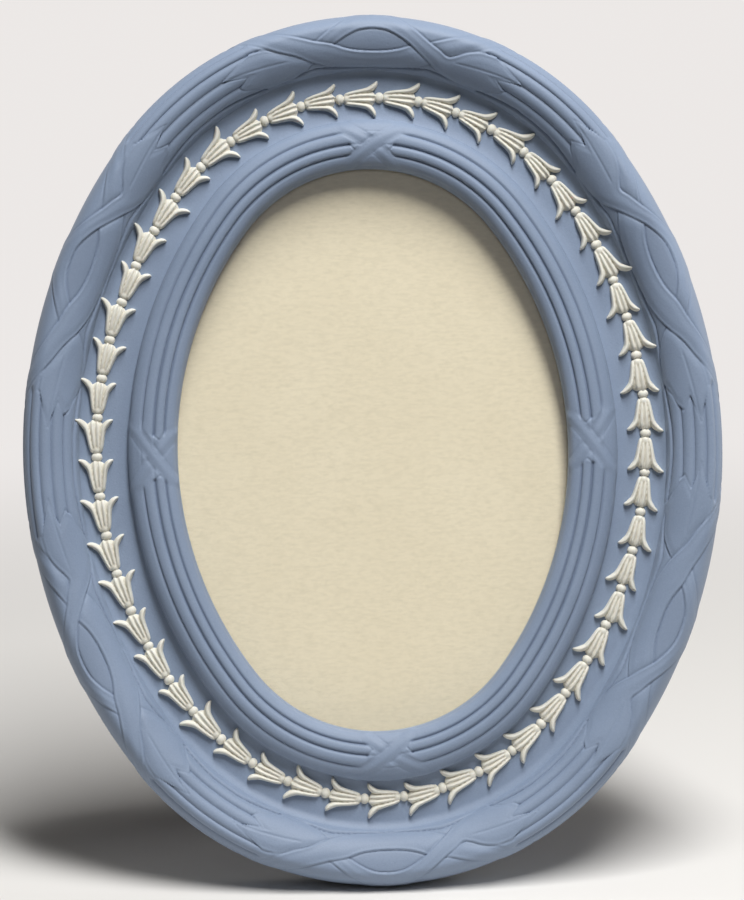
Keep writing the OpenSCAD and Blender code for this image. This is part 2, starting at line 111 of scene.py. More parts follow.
def ovalSpot(along, inset):
    # centre, radius and direction of the arc at a distance clockwise along the inset line
    along = np.asarray(along, float) % ovalLength(inset)
    centreX, centreY = np.zeros_like(along), np.zeros_like(along)
    radius, turn = np.zeros_like(along), np.zeros_like(along)
    start = 0.0
    for x, y, arcRadius, first, sweep in ovalArcs:
        length = (arcRadius - inset) * sweep
        here = (along >= start) & (along <= start + length + arcSlack)
        centreX[here], centreY[here], radius[here] = x, y, arcRadius
        turn[here] = first - (along[here] - start) / (arcRadius - inset)
        start += length
    return centreX, centreY, radius, turn


def clearSelection():
    bpy.ops.object.select_all(action="DESELECT")


def selectOnly(piece):
    clearSelection()
    bpy.context.view_layer.objects.active = piece
    piece.select_set(True)


def pointsOf(piece):
    flat = np.zeros(len(piece.data.vertices) * 3)
    piece.data.vertices.foreach_get("co", flat)
    return flat.reshape(-1, 3)


def setPoints(piece, points):
    piece.data.vertices.foreach_set("co", np.asarray(points, float).ravel())
    piece.data.update()


def triangleCount(piece):
    return sum(len(polygon.vertices) - 2 for polygon in piece.data.polygons)


mergeWithin = 0.00001 * mm      # points this close are one
sectionSamples = 2000           # for measuring along a section
shadeAngle = {"band": 55, "sheet": 40, "hardware": 38}      # edges sharper than this stay crisp


def facingOut(piece):
    # merges doubles, closes open ends and turns all faces outwards
    selectOnly(piece)
    bpy.ops.object.mode_set(mode="EDIT")
    bpy.ops.mesh.select_all(action="SELECT")
    bpy.ops.mesh.remove_doubles(threshold=mergeWithin)
    bpy.ops.mesh.fill_holes(sides=0)
    bpy.ops.mesh.select_all(action="SELECT")
    bpy.ops.mesh.normals_make_consistent(inside=False)
    bpy.ops.object.mode_set(mode="OBJECT")


def smoothShade(piece, angle=None):
    selectOnly(piece)
    if angle is None:
        bpy.ops.object.shade_smooth()
    else:
        bpy.ops.object.shade_smooth_by_angle(angle=math.radians(angle))


def applyModifier(piece, kind, **settings):
    selectOnly(piece)
    modifier = piece.modifiers.new(kind.title(), kind)
    for key, value in settings.items():
        setattr(modifier, key, value)
    bpy.ops.object.modifier_apply(modifier=modifier.name)


def joined(pieces, name):
    selectOnly(pieces[0])
    for piece in pieces:
        piece.select_set(True)
    bpy.ops.object.join()
    pieces[0].name = pieces[0].data.name = name
    return pieces[0]


def addSphere(around, rings, radius=1):
    clearSelection()
    bpy.ops.mesh.primitive_uv_sphere_add(segments=around, ring_count=rings, radius=radius)
    return bpy.context.active_object


def addRing(name, around, section, whole=True):
    # grid primitive to be rolled up into a ring, or a part of one with open ends: also gives each
    # vertex's place round it and round its section
    clearSelection()
    bpy.ops.mesh.primitive_grid_add(x_subdivisions=section, y_subdivisions=around, size=1)
    piece = bpy.context.active_object
    piece.name = piece.data.name = name
    flat = pointsOf(piece)
    column = np.round((flat[:, 0] + 0.5) * section).astype(int) % section
    row = np.round((flat[:, 1] + 0.5) * around).astype(int)
    return piece, (row % around if whole else row, column)


def sweptPoints(along, inset, out):
    # a section swept round the oval; inset and out have a row for each distance along the outer edge
    centreX, centreY, radius, turn = ovalSpot(along, 0)
    reach = radius[:, None] - inset
    across = centreX[:, None] + reach * np.cos(turn)[:, None]
    up = centreY[:, None] + reach * np.sin(turn)[:, None]
    points = onFace(across, up, out)
    points[..., 2] = np.maximum(points[..., 2], 0)
    return points


def sweptAround(around, section):
    # one section, as rows of inset and height, swept evenly right round
    shape = (around, len(section))
    along = np.arange(around) * ovalLength(0) / around
    return sweptPoints(along, np.broadcast_to(section[:, 0], shape), np.broadcast_to(section[:, 1], shape))


def setField(piece, name, values):
    layer = piece.data.attributes.new(name, "FLOAT", "POINT")
    layer.data.foreach_set("value", np.asarray(values, np.float32).ravel())


# camera, matched to the photograph
cameraSet = {
    "distance": 900 * mm,
    "elevation": 11.5,          # degrees above level
    "side": -0.8,               # degrees round to the frame's left
    "roll": -1.25,              # the photograph leans a little to the left
    "shownHeight": 195.3 * mm,  # height of the picture where the frame stands
    "sensor": 24,
    "aimSide": -0.1 * mm,
    "aimUp": 89.5 * mm,
    "nearest": 10 * mm,
}
aim = Vector((cameraSet["aimSide"], originY, cameraSet["aimUp"]))
elevation, side = math.radians(cameraSet["elevation"]), math.radians(cameraSet["side"])
outward = Vector((math.sin(side) * math.cos(elevation), -math.cos(side) * math.cos(elevation),
                  math.sin(elevation)))
clearSelection()
bpy.ops.object.camera_add(location=aim + outward * cameraSet["distance"])
camera = bpy.context.active_object
camera.rotation_euler = ((-outward).to_track_quat("-Z", "Y").to_matrix().to_4x4()
                         @ Matrix.Rotation(math.radians(cameraSet["roll"]), 4, "Z")).to_euler()
camera.data.sensor_fit = "VERTICAL"
camera.data.sensor_height = cameraSet["sensor"]
camera.data.lens = cameraSet["sensor"] * cameraSet["distance"] / cameraSet["shownHeight"]
camera.data.clip_start = cameraSet["nearest"]
camera.data.dof.use_dof = False
bpy.context.scene.camera = camera
bpy.context.scene.view_settings.view_transform = "Standard"
print("camera placed")


def eased(low, high, value):
    share = np.clip((value - low) / (high - low), 0, 1)
    return share * share * (3 - 2 * share)


def towards(height, level, share):
    # brings a height some of the way to a level
    return height + (level - height) * share


def pressed(distance, depth, wide):
    # a soft line, at its deepest where the distance is nothing
    return depth * np.exp(-(distance / wide) ** 2)


def alongCurve(points, value):
    # smooth line through given points (cubic with level ends)
    x, y = np.array(points, float).T
    slope = np.gradient(y, x)
    value = np.clip(value, x[0], x[-1])
    k = np.clip(np.searchsorted(x, value) - 1, 0, len(x) - 2)
    step = x[k + 1] - x[k]
    t = (value - x[k]) / step
    return ((2 * t**3 - 3 * t**2 + 1) * y[k] + (t**3 - 2 * t**2 + t) * step * slope[k]
            + (3 * t**2 - 2 * t**3) * y[k + 1] + (t**3 - t**2) * step * slope[k + 1])


def nearestForm(along, shifts):
    # number of the nearest of some evenly spaced forms, each pressed a little past its place by a
    # shift in mm, and the distance from it
    pitch = ovalLength(0) / len(shifts)
    form = np.round(along / pitch).astype(int)
    return form % len(shifts), along - form * pitch - np.array(shifts)[form % len(shifts)] * mm


def sectionAt(band, turn, fullness=1):
    # points and outward directions at turns round a band's section
    angle = np.radians(turn)
    reach, rise = np.where(turn < 0, *band["reach"]), band["crownUp"] - band["middleUp"]
    inset = band["crownInset"] + reach * np.sin(angle)
    out = band["middleUp"] + rise * np.cos(angle) ** fullness
    normal = np.stack([np.sin(angle) / reach, np.cos(angle) / rise])
    return inset, out, normal / np.hypot(normal[0], normal[1])


def evenTurns(band):
    # turns that lie evenly along the shown part of a band's section
    fine = np.linspace(*band["turns"], sectionSamples)
    inset, out, _ = sectionAt(band, fine)
    length = np.concatenate([[0], np.cumsum(np.hypot(np.diff(inset), np.diff(out)))])
    return np.interp(np.linspace(0, length[-1], band["section"] - len(band["hidden"])), length, fine)


def makeBand(name, band, relief):
    # a carved band in parts closed at both ends, with painted shade marked in its hollows for the finish
    turns = evenTurns(band)
    shown = len(turns)
    baseInset, baseOut, normal = sectionAt(band, turns, band["fullness"])
    share = ovalLength(0) / band["parts"]
    pieces = []
    for part in range(band["parts"]):
        along = (part + band["seam"] + np.arange(band["around"] + 1) / band["around"]) * share
        height = relief(along[:, None], turns)
        inset, out, hollow = np.zeros((3, len(along), band["section"]))
        inset[:, :shown] = np.minimum(baseInset + normal[0] * height, band["innermost"])
        out[:, :shown] = baseOut + normal[1] * height
        inset[:, shown:], out[:, shown:] = np.array(band["hidden"]).T * mm
        # painted shade: points lying lower than the set depth are marked to be darkened, fully a little
        # further down
        hollow[:, :shown] = np.clip((band["hollowBelow"] - height) / band["hollowReach"], 0, 1)
        piece, spot = addRing(f"{name}_{part + 1}", band["around"], band["section"], whole=False)
        setPoints(piece, sweptPoints(along, inset, out)[spot])
        setField(piece, "hollow", hollow[spot])
        facingOut(piece)
        smoothShade(piece, shadeAngle["band"])
        pieces.append(piece)
    print(name, "carved with", sum(triangleCount(piece) for piece in pieces), "triangles")
    return pieces


def ribbonLaid(band, height, inside, sunk=0, share=1):
    # a pressed line beside the edge, then the ribbon's softly domed top and its raised edge
    lineIn, lipIn = band["edgeLineIn"], band["edgeLipIn"]
    dome = band["ribbonDome"] * (eased(0, band["domeWide"], inside) - 1)
    top = band["ribbonRise"] - sunk + dome + pressed(inside - lipIn, *band["edgeLip"])
    height = height - share * pressed(inside - lineIn, *band["edgeLine"])
    return towards(height, top, share * eased(*band["ribbonEdge"], inside))


# outer band: reeds, crossed ribbons and the side
# turns run round the band's section from its crown, in degrees; outwards is negative
backMiddle, backRadius = (5.37, 5.0), 5.0       # rounded back edge of the body, in mm
outerBand = {
    "width": 11.7 * mm,
    "crownInset": 3.6 * mm,     # the crown lies nearer the outer edge, and the slope to the field is longer
    "reach": (3.4 * mm, 8.1 * mm),      # from the crown outwards and inwards
    "middleUp": 8.2 * mm,
    "crownUp": 15 * mm,         # height of the grooves' own curve at the crown
    "fullness": 1,
    "innermost": 12.05 * mm,
    "turns": (-108, 72),
    # hidden and plain part of the section in mm, from the step line round to the back's edge
    "hidden": [(12.05, 9.3), (12, 3.4), (12, 0), (8.6, 0)]
              + [(backMiddle[0] + backRadius * math.sin(math.radians(turn)),
                  backMiddle[1] + backRadius * math.cos(math.radians(turn)))
                 for turn in (180, 198, 216, 234, 252, 268)],
    "grooveTurns": [-123.6, -98, -72.4, -46.8, -21.2, 4.4, 30, 55.6],
    "nextGrooves": (-148.6, 67.6),      # where the next groove would lie on either side
    "grooveLine": (0.3, 2.2),   # the line in a groove: its own share of the depth, and its width in degrees
    "reedRise": 0.4 * mm,       # a reed's crown over the grooves' curve
    "ribbonRise": 0.45 * mm,
    "ribbonDome": 0.16 * mm,
    "domeWide": 2 * mm,
    "ribbonEdge": (-0.24 * mm, 0.084 * mm),     # from outside to inside the edge, where it drops away
    # depth or height and half width of what is pressed, and how far inside a ribbon's edge it lies
    "edgeLine": (0.16 * mm, 0.24 * mm),
    "edgeLineIn": -0.2 * mm,
    "edgeLip": (0.07 * mm, 0.2 * mm),
    "edgeLipIn": 0.26 * mm,
    "foldLine": (0.13 * mm, 0.24 * mm),
    "waveLine": (0.17 * mm, 0.24 * mm),
    "tuck": (0.2 * mm, 1.1 * mm),       # of the lower ribbon at a crossing
    "lensRise": 0.02 * mm,
    "lensEdge": (-0.144 * mm, 0.072 * mm),
    "gapRise": 0.12 * mm,
    "gapEdge": (-0.24 * mm, 0.144 * mm),
    "sideRise": 0.12 * mm,
    "hollowBelow": 0.12 * mm,   # what lies lower gets painted shade, and full shade this much further down
    "hollowReach": 0.35 * mm,
    # distances from a motif's middle in mm over which forms come in or die out
    "grooveFade": (-0.6, 1.2),  # about the groove's own start
    "gapFrom": (2.5, 6.5),
    "gapTo": (33, 27),
    "dipFrom": (6, 8),
    "dipEnd": 21,
    "lensEnd": 12,
    "foldFrom": (20, 22),
    "foldTo": (37, 34),
    "waveTo": (42, 34),
    "tailSlope": 0.7,           # how squarely the swallow tail's edge is cut
    "sideFade": (-102, -78),    # turns between which the carving dies out towards the back
    "seam": 0.25,               # where the parts meet, as a share of a part: among the plain reeds
    "parts": 3,
    "around": 720,              # steps round each part
    "section": 118,
    # whether the loop lies over the arch at the left crossing of each motif
    "loopOverLeft": [True, False, True, False, True, True],
    # how far past its even place each motif was pressed, in mm
    "motifShift": [2.2, 2.8, -2.2, -1, -2.5, -0.4],
    # how far inwards each was pressed, in degrees of turn, and where that dies out
    "motifTurn": [13, 0, 2, 9, 2, 7],
    "motifTurnTo": 72,
}
# metres to a degree of turn, on average
degreeWide = math.radians(1) * (outerBand["width"] / 2 + outerBand["crownUp"] - outerBand["middleUp"]) / 2
# ribbon edges as distance from a motif's middle in mm against turn, the turn taken as on an even round
arch = {
    "upper": [(0, -88), (3.4, -74), (6.6, -54), (9.7, -37), (13.2, -19), (16, -8), (18.8, 1), (20.2, -5),
              (22, -16), (24.8, -28), (28, -33), (33, -33), (40, -31)],
    "lower": [(0, -37), (3.2, -33.5), (6.4, -22), (9.4, -7), (11.8, 8), (14.5, 25), (17.5, 46), (20.5, 61),
              (24, 66), (29, 66), (34, 60), (38, 50)],
}
loop = {
    "upper": [(0, 13.5), (3.3, 11.4), (6.6, 4.4), (9.4, -7), (14, -20), (17.4, -34), (20.9, -50), (23.7, -65),
              (27, -80), (30.5, -97)],
    "lower": [(0, 64), (4.3, 61), (9.7, 49), (14.2, 29), (18.6, 1), (22.8, -20), (26.3, -43), (28.4, -57),
              (31.5, -76), (35, -97)],
}
edgeNudge = 0.05                # mm, for the slope of a ribbon's edge
# the swallow tail in which the arch ends: turn against distance
tail = [(-33, 29), (-11, 37.2), (6.5, 31), (22, 34.2), (34, 33), (43, 30.5), (70, 27)]
# the fold along the tail, from distance to distance, with its turn at each
fold = [(20.4, 8), (27, 1), (36, -9)]
# distance at which each groove begins beyond the ribbons; the others run right through
grooveStarts = [None, None, 31, 28.6, 26.4, 28, 28, None]
# the innermost groove waves round the ribbons
wave = [(0, 66), (6, 63.5), (10, 59), (14.2, 54), (18, 58.5), (23, 66), (28, 67), (33, 62), (38, 57),
        (45, 55.6)]


def fromEdge(edge, across, turn):
    # how far a point lies past a ribbon's edge, in turn's direction, as metres and squarely
    line = alongCurve(edge, across)
    slope = (alongCurve(edge, across + edgeNudge) - line) / edgeNudge * degreeWide / mm
    past = (turn - line) * degreeWide
    return past, past / np.hypot(1, slope)


def grooveCut(turn, groove, before, after):
    # falls from nothing at the crowns beside a groove to one in it
    lineShare, lineWide = outerBand["grooveLine"]
    reach = np.maximum(np.where(turn < groove, (groove - before) / 2, (after - groove) / 2), 1)
    round = np.clip(1 - np.abs(turn - groove) / reach, 0, 1) ** 2
    return round + pressed(turn - groove, lineShare, lineWide)


def reedHeight(across, turn, waving):
    band = outerBand
    turns = band["grooveTurns"]
    lined = [band["nextGrooves"][0], *turns, band["nextGrooves"][1]]
    height = band["reedRise"]
    for start, before, groove, after in zip(grooveStarts, lined, turns, lined[2:]):
        place = waving if groove == turns[-1] else groove
        depth = 1.0
        if start is not None:
            depth = eased(start + band["grooveFade"][0], start + band["grooveFade"][1], across)
        height = height - band["reedRise"] * depth * grooveCut(turn, place, before, after)
    return height


def outerRelief(along, turn):
    # height over the grooves' curve, in metres
    band = outerBand
    turn = patternTurn(turn)
    motif, offset = nearestForm(along, band["motifShift"])
    across = np.abs(offset) / mm
    waving = alongCurve(wave, across)
    height = reedHeight(across, turn, waving)
    lean = np.array(band["motifTurn"])[motif]
    leaned = turn - lean * np.clip(1 - (turn / band["motifTurnTo"]) ** 2, 0, 1)
    belowArchTop, intoArch = fromEdge(arch["upper"], across, leaned)
    belowArch, pastArch = fromEdge(arch["lower"], across, leaned)
    belowLoopTop, intoLoop = fromEdge(loop["upper"], across, leaned)
    belowLoop, pastLoop = fromEdge(loop["lower"], across, leaned)
    tailIn = (np.interp(leaned, *zip(*tail)) - across) * mm * band["tailSlope"]
    archIn = np.minimum(np.minimum(intoArch, -pastArch), tailIn)
    loopIn = np.minimum(intoLoop, -pastLoop)
    # what lies between the ribbons is lower
    lens = np.where(across < band["lensEnd"], np.minimum(-belowLoopTop, belowArch), -1)
    height = towards(height, band["lensRise"], eased(*band["lensEdge"], lens))
    gap = np.minimum(-belowLoopTop, -belowArchTop)
    dip = np.minimum(np.minimum(belowArch, belowLoop), (waving - turn) * degreeWide)
    gapShown = eased(*band["gapFrom"], across) * eased(*band["gapTo"], across)
    dipShown = eased(*band["dipFrom"], across) * (across < band["dipEnd"])
    for inside, shown in ((gap, gapShown), (dip, dipShown)):
        height = towards(height, band["gapRise"], eased(*band["gapEdge"], inside) * shown)
    leftOver = np.array(band["loopOverLeft"])[motif]
    loopOver = np.where(offset < 0, leftOver, ~leftOver)
    overIn = np.where(loopOver, loopIn, archIn)
    underIn = np.where(loopOver, archIn, loopIn)
    height = ribbonLaid(band, height, underIn, pressed(np.clip(-overIn, 0, None), *band["tuck"]))
    height = ribbonLaid(band, height, overIn)
    folded = (leaned - alongCurve(fold, across)) * degreeWide
    shown = eased(*band["foldFrom"], across) * eased(*band["foldTo"], across) * (archIn > 0)
    height = height - shown * pressed(folded, *band["foldLine"])
    # the line that waves along the inner edge, over everything
    waved = (turn - waving) * degreeWide
    height = height - eased(*band["waveTo"], across) * pressed(waved, *band["waveLine"])
    return towards(band["sideRise"], height, eased(*band["sideFade"], turn))


def patternTurn(turn):
    # the turn at which the same spot across the band would lie on an even round
    band = outerBand
    reach = np.where(turn < 0, band["crownInset"], band["width"] - band["crownInset"])
    inset = band["crownInset"] + reach * np.sin(np.radians(turn))
    even = np.degrees(np.arcsin(np.clip(inset * 2 / band["width"] - 1, -1, 1)))
    return np.where(turn < -90, turn, even)


outerPieces = makeBand("outer_band", outerBand, outerRelief)

# hollow field between the bands
field = {
    "floor": 8.5 * mm,
    "outerCove": (13.9 * mm, 1.9 * mm, 0.95 * mm),      # where it starts, how wide it is, how far it rises
    "innerCove": (19.6 * mm, 3 * mm, 0.5 * mm),
    "from": 11.4 * mm,
    "to": 23 * mm,
    "under": [(23, 3.4), (20, 3.4), (14, 3.4), (11.5, 3.4)],    # in mm, in the thickness of the body
    "around": 720,
    "section": 40,
}


def fieldHeight(inset):
    outerStart, outerWide, outerRise = field["outerCove"]
    innerStart, innerWide, innerRise = field["innerCove"]
    return (field["floor"] + outerRise * (np.clip(outerStart - inset, 0, None) / outerWide) ** 2
            + innerRise * (np.clip(inset - innerStart, 0, None) / innerWide) ** 2)


def makeField():
    inset = np.linspace(field["from"], field["to"], field["section"] - len(field["under"]))
    section = np.concatenate([np.stack([inset, fieldHeight(inset)], axis=-1), np.array(field["under"]) * mm])
    piece, spot = addRing("garland_field", field["around"], len(section))
    setPoints(piece, sweptAround(field["around"], section)[spot])
    facingOut(piece)
    smoothShade(piece, shadeAngle["sheet"])
    return piece


fieldPiece = makeField()
print("field hollowed")

# inner band: reeds tied with crossed ribbons
innerBand = {
    "crownInset": 27.75 * mm,
    "reach": (5.25 * mm, 5.25 * mm),
    "middleUp": 9 * mm,
    "crownUp": 12.7 * mm,
    "fullness": 0.86,           # below one, the sides stand up and the top flattens
    "turns": (-84, 88),
    "innermost": 33 * mm,
    "hidden": [(33, 9), (33, 8), (33, 7), (30, 7), (30, 3.4), (26, 3.4), (22.7, 3.4), (22.6, 7)],
    "grooveTurns": [-74, -27, 3, 29, 68],
    "reedRise": [0.2 * mm, 0.34 * mm, 0.32 * mm, 0.22 * mm],
    "grooveDrop": [0.16 * mm, 0.24 * mm, 0.36 * mm, 0.36 * mm],
    "grooveWide": 3.2,          # degrees
    # where each groove ends beside a tie, and where it is full again
    "grooveEnds": [(6.2 * mm, 9.4 * mm), (4.8 * mm, 8.2 * mm), (4.3 * mm, 5.1 * mm), (4.1 * mm, 4.9 * mm)],
    "closedRise": 0.16 * mm,    # the clay stands up where a groove is closed
    "closedWide": 9,            # degrees
    "pointEnd": 3.8 * mm,       # the reed in the middle ends in a point of its own
    "pointInset": 29.2 * mm,
    "pointSlope": 0.8,
    "pointReach": 4,            # degrees past the grooves beside it
    "pointLine": (0.2 * mm, 0.24 * mm),
    "ribbonHalf": 1.2 * mm,
    "ribbonRise": 0.3 * mm,
    "ribbonDome": 0.14 * mm,
    "domeWide": 1.2 * mm,
    "ribbonEdge": (-0.6 * mm, 0.3 * mm),
    "edgeLine": (0.1 * mm, 0.26 * mm),
    "edgeLineIn": -0.2 * mm,
    "edgeLip": (0, mm),         # these edges are soft and have no lip
    "edgeLipIn": 0,
    "tuck": (0.14 * mm, 0.8 * mm),
    "crossSlope": 0.72,
    "crossMiddle": 28.2 * mm,
    "crossFade": (7.4 * mm, 5.2 * mm),
    # how far past its even place each tie was pressed, measured along the outer edge in mm
    "tieShift": [2.3, -1, -3.4, -1],
    # depths at which painted shade begins in the grooves, and where it is full
    "hollowBelow": 0.1 * mm,
    "hollowReach": 0.35 * mm,
    "seam": 0.25,
    "parts": 2,
    "around": 900,
    "section": 92,
}


def innerRelief(along, turn):
    band = innerBand
    inset = sectionAt(band, turn)[0]
    _, offset = nearestForm(along, band["tieShift"])
    # distances are measured on the band, which is shorter than the outer edge
    radius = ovalSpot(along.ravel(), 0)[2].reshape(along.shape)
    offset = offset * (radius - band["crossMiddle"]) / radius
    across = np.abs(offset)
    turns = band["grooveTurns"]
    height = np.zeros((len(along), len(turn)))
    for rise, groove, after in zip(band["reedRise"], turns, turns[1:]):
        share = np.clip((turn - groove) / (after - groove), 0, 1)
        height = height + rise * 4 * share * (1 - share)
    closed = np.zeros_like(height)
    for groove, drop, ends in zip(turns, band["grooveDrop"], band["grooveEnds"]):
        depth = eased(*ends, across)
        height = height - depth * pressed(turn - groove, drop, band["grooveWide"])
        closed = np.maximum(closed, (1 - depth) * pressed(turn - groove, 1, band["closedWide"]))
    height = height + band["closedRise"] * closed
    point = band["pointEnd"] + band["pointSlope"] * np.abs(inset - band["pointInset"])
    near = (turn > turns[2] - band["pointReach"]) & (turn < turns[3] + band["pointReach"])
    height = height - near * pressed(across - point, *band["pointLine"])
    # two soft ribbons crossing, the second laid over the first
    slope, fade = band["crossSlope"], eased(*band["crossFade"], across)
    away = [np.abs(inset - band["crossMiddle"] - way * offset) for way in (slope, -slope)]
    under, over = band["ribbonHalf"] - np.array(away) / math.hypot(1, slope)
    height = ribbonLaid(band, height, under, pressed(np.clip(-over, 0, None), *band["tuck"]), fade)
    return ribbonLaid(band, height, over, share=fade)


innerPieces = makeBand("inner_band", innerBand, innerRelief)

# husks and beads
garland = {
    # its distance in from the outer edge, in mm, against the share of the way round: it was laid by hand
    "line": [(0, 17.8), (0.055, 17.1), (0.16, 15.7), (0.25, 16.3), (0.33, 17.4), (0.42, 18.8), (0.5, 18.6),
             (0.58, 18.1), (0.67, 16.3), (0.78, 15.7), (0.86, 16.2), (0.92, 16.9), (1, 17.8)],
    "count": 50,
    "start": 3.2 * mm,          # first bead past the top
    "bead": 1.06 * mm,          # radius
    "beadShape": (0.95, 1.1, 0.92),
    "beadSunk": 0.35,           # how much of its lower half is kept
    "beadUp": 0.15 * mm,
    "beadFaces": (24, 14),      # round it and from pole to pole
    "beadRoom": 0.8 * mm,       # from a bead's middle to the husk beside it
    "huskLong": 7 * mm,
    "huskUnder": -0.25 * mm,    # the underside is trimmed here, below the field's face
    "voxel": 0.13 * mm,
    "softening": (0.5, 2),      # factor and rounds
    "triangles": 3200,
    "turnSpread": 3.5,          # degrees
    "shiftSpread": 0.16 * mm,
    "sizeSpread": 0.035,
    "flareSpread": 0.13,        # of each petal's reach to the side
    "grooveDeep": 0.035 * mm,   # how far a point lies below its neighbours in a full groove
    "samples": 4001,            # for measuring along it
    "seed": 11,
}
# a lobe's middle line as points: along, across, half width and height in mm
collarLobe = [(-0.1, 0, 0.5, 0.7), (0.3, 0, 0.95, 1.05), (0.8, 0, 1.05, 1.15), (1.4, 0, 1.0, 1.0),
              (2, 0, 0.6, 0.7)]
bodyLobe = [(0.1, 0, 1.0, 0.75), (2, 0, 1.35, 1), (4, 0, 1.6, 1.05), (5.9, 0, 1.65, 0.95), (6.9, 0, 0.8, 0.6)]
innerLobe = [(0.3, 0.3, 0.32, 0.85), (2, 0.41, 0.46, 1.3), (4.3, 0.53, 0.54, 1.45), (6.1, 0.53, 0.52, 1.3),
             (7.1, 0.36, 0.26, 0.7)]
petalLobe = [(0, 0.82, 0.38, 0.9), (1.8, 1.18, 0.47, 1.25), (3.8, 1.5, 0.53, 1.4), (5.2, 1.8, 0.63, 1.5),
             (6.1, 2.35, 0.68, 1.5), (6.75, 3.1, 0.52, 1.35), (7.1, 4, 0.2, 0.9)]


def mirrored(lobe, longer):
    # the same lobe on the other side, a little longer or shorter
    return [(along * longer, -across * longer, half, high) for along, across, half, high in lobe]


huskLobes = [collarLobe, bodyLobe, innerLobe, mirrored(innerLobe, 0.97), petalLobe,
             mirrored(petalLobe, 0.985)]
lobeShape = {
    "faces": (20, 22),          # round it and from end to end
    "nose": 0.18,               # share of each half that closes in a round nose
    "blunt": 0.2,
    "under": 0.25,              # height of the flat underside
    "nudge": 0.01,              # for the line's direction, as a share of its length
    "least": 1e-9,              # mm, so that the line always has a direction
}


def makeLobe(points):
    # sphere primitive drawn out along a line of widths and heights, flat below
    piece = addSphere(*lobeShape["faces"])
    unit = pointsOf(piece)
    share = np.arccos(np.clip(unit[:, 2], -1, 1)) / math.pi
    around = np.arctan2(unit[:, 1], unit[:, 0])
    places = np.linspace(0, 1, len(points))

    def lineAt(share):
        return [alongCurve(list(zip(places, values)), np.clip(share, 0, 1)) for values in zip(*points)]

    along, across, half, high = lineAt(share)
    ahead, behind = lineAt(share + lobeShape["nudge"]), lineAt(share - lobeShape["nudge"])
    headX, headY = ahead[0] - behind[0], ahead[1] - behind[1]
    length = np.maximum(np.hypot(headX, headY), lobeShape["least"])
    nose = lobeShape["nose"]
    intoNose = np.clip(np.abs(share - 0.5) * 2 - (1 - nose), 0, None)
    full = np.sqrt(np.clip(1 - (intoNose / nose) ** 2, 0, 1))
    full = np.maximum(full, np.hypot(unit[:, 0], unit[:, 1]) * lobeShape["blunt"])
    aside = half * full * np.cos(around)
    up = high * full * np.sin(around)
    setPoints(piece, np.stack([along - aside * headY / length, across + aside * headX / length,
                               np.where(up > 0, up, up * lobeShape["under"])], axis=-1) * mm)
    return piece


def markPaintedGrooveShade(piece):
    # painted shade in the husks' grooves: share of a groove at each point, from how far it lies behind its
    # neighbours
    points = pointsOf(piece)
    ends = np.empty(len(piece.data.edges) * 2, int)
    piece.data.edges.foreach_get("vertices", ends)
    first, second = ends[0::2], ends[1::2]
    normals = np.empty(len(points) * 3)
    piece.data.vertices.foreach_get("normal", normals)
    count = np.bincount(ends, minlength=len(points))

    def around(values):
        sums = [np.bincount(a, values[b], len(points)) for a, b in ((first, second), (second, first))]
        return sum(sums) / count

    ahead = np.stack([around(points[:, k]) for k in range(3)], axis=-1) - points
    groove = np.clip((ahead * normals.reshape(-1, 3)).sum(axis=1) / garland["grooveDeep"], 0, 1)
    setField(piece, "hollow", np.clip(around(groove) + groove, 0, 1))


def makeHusk():
    piece = joined([makeLobe(points) for points in huskLobes], "husk")
    facingOut(piece)
    applyModifier(piece, "REMESH", mode="VOXEL", voxel_size=garland["voxel"])
    factor, rounds = garland["softening"]
    applyModifier(piece, "SMOOTH", factor=factor, iterations=rounds)
    points = pointsOf(piece)
    points[:, 2] = np.maximum(points[:, 2], garland["huskUnder"])
    setPoints(piece, points)
    applyModifier(piece, "DECIMATE", ratio=min(1.0, garland["triangles"] / triangleCount(piece)))
    facingOut(piece)
    markPaintedGrooveShade(piece)
    return piece


def makeBead():
    piece = addSphere(*garland["beadFaces"], garland["bead"])
    points = pointsOf(piece) * garland["beadShape"]
    points[:, 2] *= np.where(points[:, 2] > 0, 1, garland["beadSunk"])
    points[:, 2] += garland["beadUp"]
    setPoints(piece, points)
    return piece


def garlandInset(edge):
    return alongCurve(garland["line"], edge / ovalLength(0) % 1) * mm


def garlandEdges():
    # outer-edge distance of each even step along the garland, and the step's length
    edge = np.linspace(0, ovalLength(0), garland["samples"])
    radius = ovalSpot(edge, 0)[2]
    travelled = np.concatenate([[0], np.cumsum((1 - garlandInset(edge) / radius)[1:] * np.diff(edge))])
    step = travelled[-1] / garland["count"]
    return lambda place: np.interp(place % travelled[-1], travelled, edge), step


def alongGarland(piece, edge, shift, turn, size, flares=(0, 0)):
    # a copy of the piece seated on the field at a distance along the outer edge
    copy = piece.copy()
    copy.data = piece.data.copy()
    bpy.context.collection.objects.link(copy)
    centreX, centreY, radius, direction = ovalSpot(np.array([edge]), 0)
    seat = garlandInset(edge)
    reach = radius[0] - seat
    drift = (garlandInset(edge + mm) - garlandInset(edge - mm)) / (2 * mm * reach / radius[0])
    angle = math.radians(turn) - math.atan(drift)
    points = pointsOf(piece) * size
    flare = np.where(points[:, 1] > 0, *flares) * np.clip(points[:, 0] / garland["huskLong"], 0, 1) ** 2
    points[:, 1] *= 1 + flare
    forward = points[:, 0] * math.cos(angle) - points[:, 1] * math.sin(angle)
    outward = points[:, 0] * math.sin(angle) + points[:, 1] * math.cos(angle) + shift
    # forward runs clockwise, bent round the oval
    bend = direction[0] - forward / reach
    across = centreX[0] + (reach + outward) * np.cos(bend)
    up = centreY[0] + (reach + outward) * np.sin(bend)
    setPoints(copy, onFace(across, up, fieldHeight(seat - outward) + points[:, 2]))
    return copy


def spread(most):
    return random.uniform(-1, 1) * most


